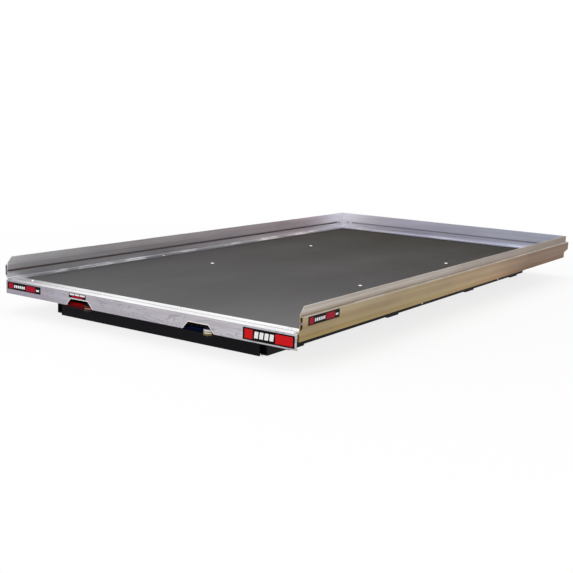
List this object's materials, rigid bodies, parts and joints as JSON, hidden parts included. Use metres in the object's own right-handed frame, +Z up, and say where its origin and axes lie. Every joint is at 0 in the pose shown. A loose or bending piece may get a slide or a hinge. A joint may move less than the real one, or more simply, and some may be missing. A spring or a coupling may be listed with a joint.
{
  "type": "truck bed slide",
  "caption": "Roll-out cargo tray for a pickup bed: coated deck panel in aluminium rails with tie-down tracks, on bearings over a black steel base frame, with release levers at the front.",
  "frame": {"origin": "middle of the footprint, at the underside of the base frame", "axes": "+Y towards the cab end along the travel, +X to the right, +Z up"},
  "size_m": [1.244, 2.2986, 0.1896],
  "materials": {
    "rail_aluminium": "mill finish extrusion with fine lines along its length",
    "deck_coating": "plywood with a dark grey fine-grained wear coating",
    "base_black": "satin black powder coat on steel",
    "zinc_steel": "bright zinc plated",
    "brass_washer": "turned brass, satin",
    "bearing_steel": "ground bearing steel",
    "rubber_black": "moulded rubber",
    "grip_red": "red dipped vinyl, semi-gloss",
    "grip_blue": "dark blue dipped vinyl, semi-gloss"
  },
  "bodies": {
    "base": {"right_base_rail": "base_black", "left_base_rail": "base_black", "front_crossmember": "base_black", "front_middle_crossmember": "base_black", "rear_middle_crossmember": "base_black", "rear_crossmember": "base_black", "right_feet": "base_black", "left_feet": "base_black", "stop_blocks": "base_black", "stop_bumpers": "rubber_black", "bearing_bolts": "zinc_steel", "bearing_spacers": "zinc_steel", "bearing_nuts": "zinc_steel", "red_keeper": "base_black", "blue_keeper": "base_black"},
    "deck": {"right_side_rail": "rail_aluminium", "left_side_rail": "rail_aluminium", "rear_rail": "rail_aluminium", "front_channel": "rail_aluminium", "deck_panel": "deck_coating", "front_flange_screws": "zinc_steel", "side_rail_screws": "zinc_steel", "rear_rail_screws": "zinc_steel", "deck_bolts": "zinc_steel", "deck_nuts": "zinc_steel", "right_corner_bracket": "zinc_steel", "left_corner_bracket": "zinc_steel", "corner_bracket_bolts": "zinc_steel", "corner_track_nuts": "zinc_steel", "front_brace": "base_black", "middle_brace": "base_black", "rear_brace": "base_black", "right_slide_channel": "base_black", "left_slide_channel": "base_black", "stop_lugs": "base_black", "red_latch_bracket": "base_black", "blue_latch_bracket": "base_black", "pivot_studs": "zinc_steel", "pivot_spacers": "zinc_steel", "upper_pivot_washers": "zinc_steel", "lower_pivot_washers": "brass_washer", "pivot_nuts": "zinc_steel"},
    "right_bearing_1": {"right_bearing_1": "bearing_steel"},
    "left_bearing_1": {"left_bearing_1": "bearing_steel"},
    "right_bearing_2": {"right_bearing_2": "bearing_steel"},
    "left_bearing_2": {"left_bearing_2": "bearing_steel"},
    "right_bearing_3": {"right_bearing_3": "bearing_steel"},
    "left_bearing_3": {"left_bearing_3": "bearing_steel"},
    "right_bearing_4": {"right_bearing_4": "bearing_steel"},
    "left_bearing_4": {"left_bearing_4": "bearing_steel"},
    "right_bearing_5": {"right_bearing_5": "bearing_steel"},
    "left_bearing_5": {"left_bearing_5": "bearing_steel"},
    "red_lever": {"red_lever": "zinc_steel", "red_grip": "grip_red"},
    "red_latch_pin": {"red_latch_pin": "zinc_steel"},
    "blue_lever": {"blue_lever": "zinc_steel", "blue_grip": "grip_blue"},
    "blue_latch_pin": {"blue_latch_pin": "zinc_steel"}
  },
  "joints": [
    {"name": "deck_slide", "type": "slide", "parent": "base", "child": "deck", "axis": [0, -1, 0], "range_m": [0, 1.6]},
    {"name": "right_bearing_1_roll", "type": "hinge", "parent": "base", "child": "right_bearing_1", "pos_m": [0.434, -1.03125, 0.0692], "axis": [1, 0, 0], "continuous": true},
    {"name": "left_bearing_1_roll", "type": "hinge", "parent": "base", "child": "left_bearing_1", "pos_m": [-0.434, -1.03125, 0.0692], "axis": [1, 0, 0], "continuous": true},
    {"name": "right_bearing_2_roll", "type": "hinge", "parent": "base", "child": "right_bearing_2", "pos_m": [0.434, -0.84925, 0.0692], "axis": [1, 0, 0], "continuous": true},
    {"name": "left_bearing_2_roll", "type": "hinge", "parent": "base", "child": "left_bearing_2", "pos_m": [-0.434, -0.84925, 0.0692], "axis": [1, 0, 0], "continuous": true},
    {"name": "right_bearing_3_roll", "type": "hinge", "parent": "base", "child": "right_bearing_3", "pos_m": [0.434, -0.50925, 0.0692], "axis": [1, 0, 0], "continuous": true},
    {"name": "left_bearing_3_roll", "type": "hinge", "parent": "base", "child": "left_bearing_3", "pos_m": [-0.434, -0.50925, 0.0692], "axis": [1, 0, 0], "continuous": true},
    {"name": "right_bearing_4_roll", "type": "hinge", "parent": "base", "child": "right_bearing_4", "pos_m": [0.434, 0.13575, 0.0692], "axis": [1, 0, 0], "continuous": true},
    {"name": "left_bearing_4_roll", "type": "hinge", "parent": "base", "child": "left_bearing_4", "pos_m": [-0.434, 0.13575, 0.0692], "axis": [1, 0, 0], "continuous": true},
    {"name": "right_bearing_5_roll", "type": "hinge", "parent": "base", "child": "right_bearing_5", "pos_m": [0.434, 0.78075, 0.0692], "axis": [1, 0, 0], "continuous": true},
    {"name": "left_bearing_5_roll", "type": "hinge", "parent": "base", "child": "left_bearing_5", "pos_m": [-0.434, 0.78075, 0.0692], "axis": [1, 0, 0], "continuous": true},
    {"name": "red_lever_turn", "type": "hinge", "parent": "deck", "child": "red_lever", "pos_m": [-0.226, -1.12725, 0.0637], "axis": [0, 0, 1], "range_deg": [-10, 0]},
    {"name": "red_pin_slide", "type": "slide", "parent": "deck", "child": "red_latch_pin", "axis": [1, 0, 0], "range_m": [0, 0.013]},
    {"name": "blue_lever_turn", "type": "hinge", "parent": "deck", "child": "blue_lever", "pos_m": [0.276, -1.12725, 0.0637], "axis": [0, 0, 1], "range_deg": [-10, 0]},
    {"name": "blue_pin_slide", "type": "slide", "parent": "deck", "child": "blue_latch_pin", "axis": [1, 0, 0], "range_m": [0, 0.013]}
  ],
  "couplings": [
    {"joint": "right_bearing_1_roll", "follows": "deck_slide", "rad_per_m": 57.143},
    {"joint": "left_bearing_1_roll", "follows": "deck_slide", "rad_per_m": 57.143},
    {"joint": "right_bearing_2_roll", "follows": "deck_slide", "rad_per_m": 57.143},
    {"joint": "left_bearing_2_roll", "follows": "deck_slide", "rad_per_m": 57.143},
    {"joint": "right_bearing_3_roll", "follows": "deck_slide", "rad_per_m": 57.143},
    {"joint": "left_bearing_3_roll", "follows": "deck_slide", "rad_per_m": 57.143},
    {"joint": "right_bearing_4_roll", "follows": "deck_slide", "rad_per_m": 57.143},
    {"joint": "left_bearing_4_roll", "follows": "deck_slide", "rad_per_m": 57.143},
    {"joint": "right_bearing_5_roll", "follows": "deck_slide", "rad_per_m": 57.143},
    {"joint": "left_bearing_5_roll", "follows": "deck_slide", "rad_per_m": 57.143},
    {"joint": "red_pin_slide", "follows": "red_lever_turn", "m_per_rad": -0.074},
    {"joint": "blue_pin_slide", "follows": "blue_lever_turn", "m_per_rad": -0.074}
  ]
}
